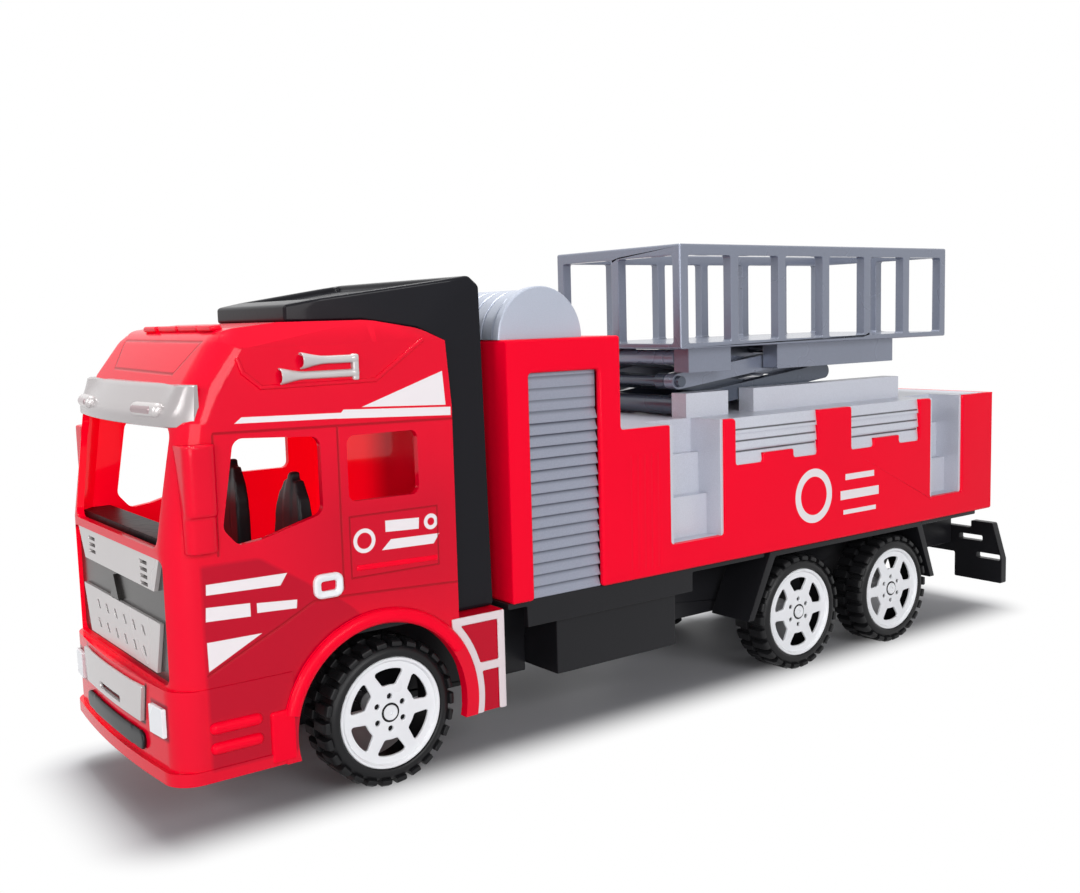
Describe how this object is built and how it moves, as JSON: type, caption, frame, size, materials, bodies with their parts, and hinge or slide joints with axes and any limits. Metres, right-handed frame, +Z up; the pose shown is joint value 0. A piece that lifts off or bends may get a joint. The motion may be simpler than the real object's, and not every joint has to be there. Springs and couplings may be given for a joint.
{
  "type": "toy fire engine",
  "caption": "Moulded toy fire engine: hollow cab with open windows, roller shutters, silver deck and a work basket on a two-level scissor lift.",
  "frame": {"origin": "middle of the overall length and width, on the floor", "axes": "+X to the front of the vehicle, +Y to its left, +Z up"},
  "size_m": [0.3262, 0.0852, 0.138],
  "materials": {
    "red_plastic": "gloss",
    "black_plastic": "satin",
    "silver_plastic": "satin metallic",
    "grey_plastic": "satin metallic",
    "white_plastic": "satin",
    "tyre_plastic": "matte",
    "axle_steel": "bright"
  },
  "bodies": {
    "vehicle": {"cab_shell": "red_plastic", "cab_interior": "black_plastic", "dashboard": "black_plastic", "grille_surround": "black_plastic", "upper_grille": "silver_plastic", "lower_grille": "silver_plastic", "number_panel": "white_plastic", "fog_bar": "black_plastic", "visor": "silver_plastic", "wind_deflector": "black_plastic", "body_shell": "red_plastic", "deck_insert": "silver_plastic", "drum": "silver_plastic", "chassis_frame": "black_plastic", "side_box": "black_plastic", "rear_bumper": "black_plastic", "headlamp_left": "white_plastic", "headlamp_right": "white_plastic", "mirror_left": "red_plastic", "mirror_right": "red_plastic", "air_horns_left": "silver_plastic", "air_horns_right": "silver_plastic", "step_trim_left": "silver_plastic", "step_trim_right": "silver_plastic", "roller_shutter_left": "silver_plastic", "roller_shutter_right": "silver_plastic", "mudguard_left": "black_plastic", "mudguard_right": "black_plastic"},
    "lower_outer_frame": {"lift_lower_outer": "grey_plastic"},
    "lower_inner_frame": {"lift_lower_inner": "grey_plastic"},
    "upper_outer_frame": {"lift_upper_outer": "grey_plastic"},
    "upper_inner_frame": {"lift_upper_inner": "grey_plastic"},
    "basket": {"basket_frame": "grey_plastic", "basket_lug_left": "grey_plastic", "basket_lug_right": "grey_plastic", "basket_bracket_left": "grey_plastic", "basket_bracket_right": "grey_plastic"},
    "front_wheels": {"front_axle": "axle_steel", "front_rim_left": "white_plastic", "front_rim_right": "white_plastic", "front_tyre_left": "tyre_plastic", "front_tyre_right": "tyre_plastic"},
    "middle_wheels": {"middle_axle": "axle_steel", "middle_rim_left": "white_plastic", "middle_rim_right": "white_plastic", "middle_tyre_left": "tyre_plastic", "middle_tyre_right": "tyre_plastic"},
    "rear_wheels": {"rear_axle": "axle_steel", "rear_rim_left": "white_plastic", "rear_rim_right": "white_plastic", "rear_tyre_left": "tyre_plastic", "rear_tyre_right": "tyre_plastic"}
  },
  "joints": [
    {"name": "front_wheels_roll", "type": "hinge", "parent": "vehicle", "child": "front_wheels", "pos_m": [0.10465, 0, 0.019], "axis": [0, 1, 0], "continuous": true},
    {"name": "middle_wheels_roll", "type": "hinge", "parent": "vehicle", "child": "middle_wheels", "pos_m": [-0.04705, 0, 0.019], "axis": [0, 1, 0], "continuous": true},
    {"name": "rear_wheels_roll", "type": "hinge", "parent": "vehicle", "child": "rear_wheels", "pos_m": [-0.09535, 0, 0.019], "axis": [0, 1, 0], "continuous": true},
    {"name": "lift_raise", "type": "hinge", "parent": "vehicle", "child": "lower_outer_frame", "pos_m": [-0.01185, 0, 0.0882], "axis": [0, 1, 0], "range_deg": [0, 42]},
    {"name": "lower_cross", "type": "hinge", "parent": "lower_outer_frame", "child": "lower_inner_frame", "pos_m": [-0.04664, 0, 0.092], "axis": [0, 1, 0], "range_deg": [-84.5, 0.5]},
    {"name": "level_link", "type": "hinge", "parent": "lower_inner_frame", "child": "upper_outer_frame", "pos_m": [-0.01185, 0, 0.0958], "axis": [0, 1, 0], "range_deg": [-0.5, 84.5]},
    {"name": "upper_cross", "type": "hinge", "parent": "upper_outer_frame", "child": "upper_inner_frame", "pos_m": [-0.04664, 0, 0.0996], "axis": [0, 1, 0], "range_deg": [-84.5, 0.5]},
    {"name": "basket_level", "type": "hinge", "parent": "upper_inner_frame", "child": "basket", "pos_m": [-0.01185, 0, 0.1034], "axis": [0, 1, 0], "range_deg": [-0.5, 42.5]}
  ],
  "couplings": [
    {"joint": "lower_cross", "follows": "lift_raise", "ratio": -2},
    {"joint": "level_link", "follows": "lift_raise", "ratio": 2},
    {"joint": "upper_cross", "follows": "lift_raise", "ratio": -2},
    {"joint": "basket_level", "follows": "lift_raise", "ratio": 1}
  ]
}
